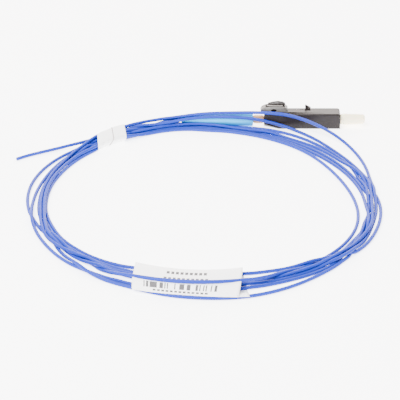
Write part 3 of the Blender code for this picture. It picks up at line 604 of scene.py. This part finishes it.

# %% [markdown]
# ## The label
# The label is one inch of white stock, wrapped round the turns like a flag. Its outline is a row of given
# places across the bundle: from the flap's lower edge up to the ridge, over the top, down the back and
# below the turns to the flap again. One strand lies over it and one runs below its flap, so the flap and the
# lower layer each follow a slow bow along the label.

# %% Label
LABEL_MIDDLE = 264.0
LABEL_THICKNESS = 0.1
LABEL_ROWS = 40
SECTION_STEP = 0.33
FLAP_BOW = (0.0274, 0.0040)
FIBRE_BOW = (0.0625, -0.00117)
LABEL_SECTION = np.array([
    # radius, height, share of the flap's bow, share of the fibre's bow, left end, right end
    (47.30, 0.98, 1.0, 0.0, 249.2, 279.4),
    (46.85, 1.50, 1.0, 0.0, 248.9, 279.7),
    (46.35, 2.10, 0.9, 0.0, 248.7, 280.0),
    (45.80, 2.70, 0.7, 0.0, 248.4, 280.4),
    (45.35, 2.95, 0.5, 0.0, 248.2, 280.7),
    (44.20, 3.10, 0.2, 0.0, 247.7, 281.3),
    (42.60, 3.30, 0.0, 0.0, 247.0, 282.1),
    (41.00, 3.46, 0.0, 0.0, 246.3, 282.8),
    (40.00, 3.42, 0.0, 0.0, 245.8, 283.2),
    (39.20, 3.15, 0.0, 0.0, 245.3, 283.5),
    (38.20, 2.45, 0.0, 0.0, 244.6, 283.9),
    (37.40, 1.60, 0.0, 0.0, 244.0, 284.2),
    (36.98, 0.90, 0.0, 0.0, 243.7, 284.4),
    (36.92, 0.35, 0.0, 0.0, 243.7, 284.4),
    (37.40, 0.12, 0.0, 0.0, 244.0, 284.4),
    (40.00, 0.12, 0.0, 0.0, 245.8, 284.0),
    (43.20, 0.12, 0.0, 0.5, 247.3, 283.4),
    (44.80, 0.16, 0.0, 1.0, 248.0, 283.0),
    (45.80, 0.60, 0.0, 1.0, 248.4, 282.8),
    (46.50, 0.92, 0.0, 1.0, 248.8, 282.7),
    (47.10, 0.95, 1.0, 0.0, 249.2, 282.5),
])


def bow(coefficients, degrees_round):
    """How far a bow pushes out at an angle: b t + c t squared, for t degrees from the label's middle."""
    past = degrees_round - LABEL_MIDDLE
    return coefficients[0] * past + coefficients[1] * past ** 2


def label_face(section, inset):
    """Rows along the label of its whole outline, moved inwards by a distance. Also the angles used."""
    share = np.linspace(0.0, 1.0, LABEL_ROWS)[:, None]
    row_degrees = section[None, :, 4] + (section[:, 5] - section[:, 4])[None, :] * share
    across = section[None, :, 0] + section[None, :, 2] * bow(FLAP_BOW, row_degrees)
    across = across + section[None, :, 3] * bow(FIBRE_BOW, row_degrees)
    outline = np.stack([across, np.broadcast_to(section[None, :, 1], across.shape)], axis=-1)
    along = np.gradient(outline, axis=1)
    inwards = np.stack([-along[..., 1], along[..., 0]], axis=-1)
    inwards /= np.linalg.norm(inwards, axis=-1, keepdims=True)
    return on_coil(row_degrees, outline + inset * inwards), outline


label_section, _ = along_curve(LABEL_SECTION, SECTION_STEP)
label_outer, label_outline = label_face(label_section, 0.0)
label_inner, _ = label_face(label_section, LABEL_THICKNESS)
run = np.linalg.norm(np.diff(label_outline[LABEL_ROWS // 2], axis=0), axis=1)
label_v = np.concatenate([[0.0], np.cumsum(run)])
label_u = np.linspace(0.0, 1.0, LABEL_ROWS)
label_uv = np.stack(np.meshgrid(label_u, label_v, indexing="ij"), axis=-1)
label = thin_sheet("paper_label", label_outer * MM, label_inner * MM, label_uv)
print("label: outline", round(float(label_v[-1]), 1), "mm, faces", len(label.data.polygons))

# %% [markdown]
# The print is generic: one row of bars and three rows of plain dashes. The label's UV gives the share along
# it and the millimetres up from the flap's edge, so the shader can draw each row between four limits: its
# left and right end, and its lower and upper edge. The fifth number is how many cells the row has.

# %% Label print
BAR_ROW = (0.11, 0.83, 1.15, 2.55, 62)
DASH_ROWS = ((0.20, 0.73, 0.42, 0.86, 13), (0.29, 0.71, 3.75, 4.75, 10), (0.31, 0.69, 6.0, 7.0, 9))
BAR_CHANCE, DASH_SHARE = 0.46, 0.68
PAPER_WHITE, INK_GREY = (0.97, 0.965, 0.965, 1.0), (0.05, 0.045, 0.05, 1.0)
label_paper, label_tree, label_shader = new_material("label_print", (0.9, 0.9, 0.9), 0.55)


def math_node(tree, operation, first, second, third=0.0):
    """One Math node; its inputs are numbers or other nodes' sockets."""
    node = tree.nodes.new("ShaderNodeMath")
    node.operation = operation
    for number, value in enumerate((first, second, third)):
        if isinstance(value, (int, float)):
            node.inputs[number].default_value = value
        else:
            tree.links.new(value, node.inputs[number])
    return node.outputs[0]


def between(tree, value, low, high):
    """One where the value lies between two limits, and nought elsewhere."""
    return math_node(tree, "MULTIPLY", math_node(tree, "GREATER_THAN", value, low),
                     math_node(tree, "LESS_THAN", value, high))


def cell_position(tree, value, low, high, cells):
    """The value counted in cells from the row's left end."""
    return math_node(tree, "MULTIPLY_ADD", value, cells / (high - low), -low * cells / (high - low))


uv_node = label_tree.nodes.new("ShaderNodeUVMap")
uv_node.uv_map = "UVMap"
split = label_tree.nodes.new("ShaderNodeSeparateXYZ")
label_tree.links.new(uv_node.outputs["UV"], split.inputs[0])
along_label, up_label = split.outputs["X"], split.outputs["Y"]
left, right, low, high, cells = BAR_ROW
count = cell_position(label_tree, along_label, left, right, cells)
chance = label_tree.nodes.new("ShaderNodeTexWhiteNoise")
chance.noise_dimensions = "1D"
label_tree.links.new(math_node(label_tree, "FLOOR", count, 0.0), chance.inputs["W"])
bars = math_node(label_tree, "GREATER_THAN", chance.outputs["Value"], BAR_CHANCE)
bars = math_node(label_tree, "MULTIPLY", bars, between(label_tree, along_label, left, right))
ink = math_node(label_tree, "MULTIPLY", bars, between(label_tree, up_label, low, high))
for left, right, low, high, cells in DASH_ROWS:
    count = cell_position(label_tree, along_label, left, right, cells)
    dash = math_node(label_tree, "LESS_THAN", math_node(label_tree, "FRACT", count, 0.0), DASH_SHARE)
    dash = math_node(label_tree, "MULTIPLY", dash, between(label_tree, along_label, left, right))
    dash = math_node(label_tree, "MULTIPLY", dash, between(label_tree, up_label, low, high))
    ink = math_node(label_tree, "MAXIMUM", ink, dash)
mix = label_tree.nodes.new("ShaderNodeMix")
mix.data_type = "RGBA"
mix.inputs["A"].default_value = PAPER_WHITE
mix.inputs["B"].default_value = INK_GREY
label_tree.links.new(ink, mix.inputs["Factor"])
label_tree.links.new(mix.outputs["Result"], label_shader.inputs["Base Color"])
finish_piece(label, "pigtail", label_paper)
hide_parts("label")
print("print rows:", 1 + len(DASH_ROWS))

# %% [markdown]
# ## Finishes of the plug
# The rigid pieces stay as they are and get finer finishes. Moulded plastic is never quite even: a fine
# noise, in the piece's own coordinates, varies its gloss and raises a grain of a hundredth of a
# millimetre at most.

# %% Plug materials
GRAIN_DETAIL, GRAIN_STRENGTH = 3.0, 0.4


def moulded(name, colour, roughness, grain_per_mm, grain_height, spread=0.06, **sockets):
    """Moulded plastic: a noise in object coordinates varies the gloss and gives a fine grain."""
    material, tree, shader = new_material(name, colour, roughness, **sockets)
    place = tree.nodes.new("ShaderNodeTexCoord")
    noise = tree.nodes.new("ShaderNodeTexNoise")
    noise.inputs["Scale"].default_value = grain_per_mm / MM
    noise.inputs["Detail"].default_value = GRAIN_DETAIL
    tree.links.new(place.outputs["Object"], noise.inputs["Vector"])
    gloss = tree.nodes.new("ShaderNodeMapRange")
    gloss.inputs["To Min"].default_value = roughness - spread
    gloss.inputs["To Max"].default_value = roughness + spread
    tree.links.new(noise.outputs["Fac"], gloss.inputs["Value"])
    tree.links.new(gloss.outputs["Result"], shader.inputs["Roughness"])
    bump = tree.nodes.new("ShaderNodeBump")
    bump.inputs["Distance"].default_value = grain_height * MM
    bump.inputs["Strength"].default_value = GRAIN_STRENGTH
    tree.links.new(noise.outputs["Fac"], bump.inputs["Height"])
    tree.links.new(bump.outputs["Normal"], shader.inputs["Normal"])
    return material


FINISHES = {
    "black_plastic_top": (("trigger_hood", "trigger_tongue"),
                          moulded("black_hood_finish", (0.02, 0.016, 0.015), 0.5, 3.0, 0.01,
                                  Coat_Weight=0.6, Coat_Roughness=0.45)),
    "black_plastic": (("connector_housing", "latch_arm"),
                      moulded("black_plastic_finish", (0.014, 0.011, 0.011), 0.3, 3.0, 0.01,
                              Specular_IOR_Level=0.15)),
    "aqua_boot": (("boot",), moulded("aqua_boot_finish", (0.0, 0.42, 0.85), 0.5, 1.5, 0.01)),
    "beige_neck": (("rear_neck",), moulded("beige_neck_finish", (0.60, 0.31, 0.13), 0.35, 2.0, 0.01)),
    "cream_cap": (("dust_cap",), moulded("cream_cap_finish", (1.0, 0.88, 0.62), 0.42, 1.5, 0.01,
                                         Subsurface_Weight=0.15, Subsurface_Scale=0.001)),
    "ferrule_ceramic": (("ferrule",), moulded("ferrule_finish", (0.92, 0.91, 0.88), 0.15, 4.0, 0.002, 0.04)),
    "holder_metal": (("ferrule_holder",), moulded("holder_finish", (0.6, 0.6, 0.6), 0.35, 4.0, 0.005,
                                                  Metallic=1.0)),
}
for nodes, material in FINISHES.values():
    for node in nodes:
        for slot in bpy.data.objects[node].material_slots:
            slot.material = material
print("finishes:", ", ".join(FINISHES))

# %% [markdown]
# ## Small marks of the plug
# The hood has a blind oval recess in its near flank, and the latch grows out of the body without a joint.
# The recess itself is not modelled: a thin black oval plate on the flank paints the shade inside it, and a
# film thinner than paper covers the joint that the moving latch needs.

# %% Recess and root film
RECESS_MIDDLE = np.array([0.05, -1.785, 5.64])
RECESS_ACROSS, RECESS_UP = np.array([0.75, 0.0, 0.0]), np.array([0.0, 0.2, 0.345])
RECESS_THICKNESS = 0.04
OVAL_SIDES = 32
# Dull black for the oval: painted shade of the hood's recess, not a colour of the hood.
hood_recess_painted_shade, _, _ = new_material("recess_painted_shade", (0.004, 0.003, 0.003), 0.9, Specular_IOR_Level=0.0)


def oval_plate(name, middle, across, up, thickness):
    """A flat oval plate: point = middle + cos(a) across + sin(a) up, with a straight edge."""
    turned = 2 * np.pi * np.arange(OVAL_SIDES) / OVAL_SIDES
    rim = middle + np.cos(turned)[:, None] * across + np.sin(turned)[:, None] * up
    out = np.cross(across, up)
    out /= np.linalg.norm(out)
    points = np.concatenate([rim, rim + thickness * out])
    ends = np.arange(2 * OVAL_SIDES).reshape(2, OVAL_SIDES)
    faces = grid_faces(2, OVAL_SIDES).tolist() + ends.tolist()
    return mesh_from_arrays(name, points * MM, faces, smooth=False)


# The oval plate sits in the flank and paints the recess's shade.
recess = oval_plate("hood_recess_painted_shade", RECESS_MIDDLE, RECESS_ACROSS, RECESS_UP, -RECESS_THICKNESS)
finish_piece(recess, "pigtail", hood_recess_painted_shade)
film_x, film_y, film_z = (13.3, 14.0), (-1.45, 1.45), (4.612, 4.64)
film_points = np.array([(x, y, z) for z in film_z for y in film_y for x in film_x])
film = mesh_from_arrays("latch_root_film", film_points * MM, [(0, 1, 3, 2), (4, 5, 7, 6), (0, 1, 5, 4),
                                                              (2, 3, 7, 6), (0, 2, 6, 4), (1, 3, 7, 5)],
                        smooth=False)
finish_piece(film, "pigtail", FINISHES["black_plastic"][1])
print("small marks:", recess.name, film.name)

# %% [markdown]
# ## Floor and light
# The object lies on a flat white floor that also glows, as a lit table does. One wide lamp stands behind
# it, low enough that the level black faces mirror it towards the camera, and a smaller one fills from the
# front.

# %% Floor and light
FLOOR_HALF = 2.0
FLOOR_GLOW, ROOM_GLOW = 3.6, 1.7
WHITE = (1.0, 1.0, 1.0, 1.0)
corner_signs = np.array([(-1.0, -1.0, 0.0), (1.0, -1.0, 0.0), (1.0, 1.0, 0.0), (-1.0, 1.0, 0.0)])
floor_corners = FLOOR_HALF * corner_signs
floor = mesh_from_arrays("floor", floor_corners, [(0, 1, 2, 3)], smooth=False)
floor_material, _, _ = new_material("pale_floor", (0.95, 0.95, 0.95), 0.9, Emission_Color=WHITE,
                                    Emission_Strength=FLOOR_GLOW)
floor.data.materials.append(floor_material)

world = bpy.data.worlds.new("studio")
bpy.context.scene.world = world
world.use_nodes = True
world.node_tree.nodes["Background"].inputs["Color"].default_value = WHITE
world.node_tree.nodes["Background"].inputs["Strength"].default_value = ROOM_GLOW


def soft_lamp(name, place, width, height, energy, colour):
    """A wide soft lamp at a place, turned to face the object."""
    data = bpy.data.lights.new(name, "AREA")
    data.shape = "RECTANGLE"
    data.size = width
    data.size_y = height
    data.energy = energy
    data.color = colour
    lamp = bpy.data.objects.new(name, data)
    lamp.location = place
    away = np.array(place) - CAMERA_TARGET
    lamp.rotation_euler = (math.atan2(math.hypot(away[0], away[1]), away[2]), 0.0,
                           math.atan2(away[1], away[0]) + math.pi / 2)
    bpy.context.scene.collection.objects.link(lamp)


soft_lamp("back", (0.0, 1.0, 0.62), 1.6, 0.8, 44.0, (1.0, 0.9, 0.83))
soft_lamp("key", (-0.35, -0.4, 0.8), 0.6, 0.6, 30.0, (1.0, 1.0, 1.0))
